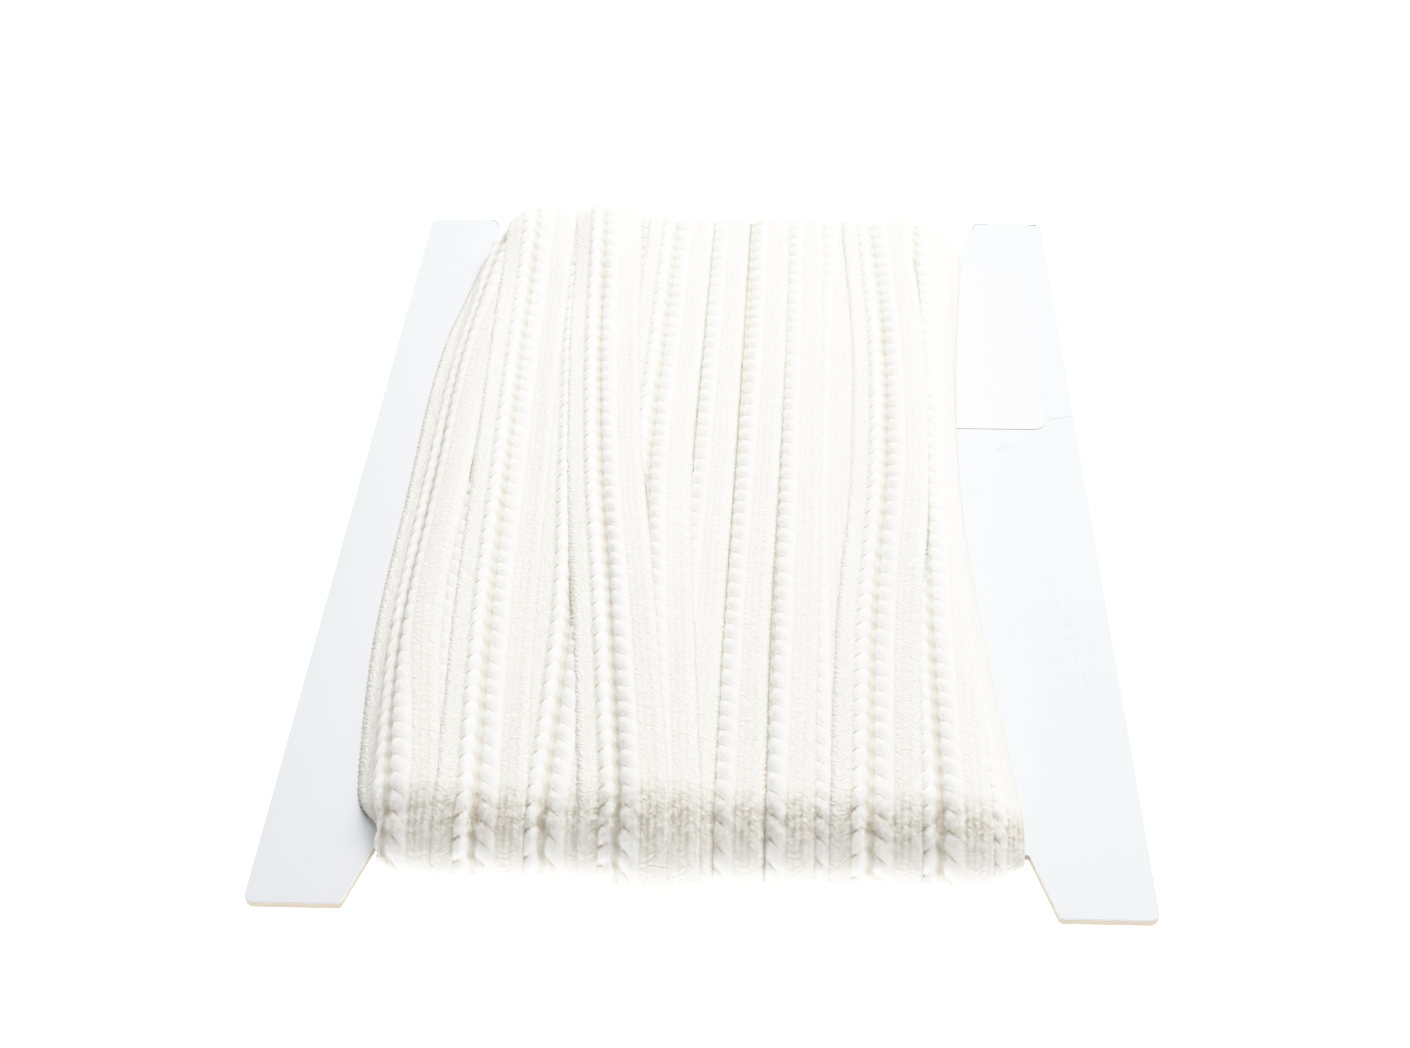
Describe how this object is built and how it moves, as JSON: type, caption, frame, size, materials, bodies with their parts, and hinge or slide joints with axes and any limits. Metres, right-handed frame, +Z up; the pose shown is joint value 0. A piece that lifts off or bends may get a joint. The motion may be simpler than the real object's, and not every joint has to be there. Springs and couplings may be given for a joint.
{
  "type": "trimming braid wound on a card",
  "caption": "Ivory corded braid trimming wound in overlapping turns round a flat notched board card with a bare sticker.",
  "frame": {"origin": "on the surface below the middle of the card, under the winding", "axes": "+Z up, out of the card's face that carries the sticker; +Y along the card and along the turns; +X to the sticker's side"},
  "size_m": [0.16, 0.234, 0.02],
  "materials": {
    "board": "smooth white face, grey core at the cut edges",
    "braid": "matte ivory yarn, two raised chain rows and a ribbed ground",
    "paper": "smooth white sticker, blank"
  },
  "bodies": {
    "root": {"card": "board", "winding": "braid", "sticker": "paper"}
  },
  "joints": []
}
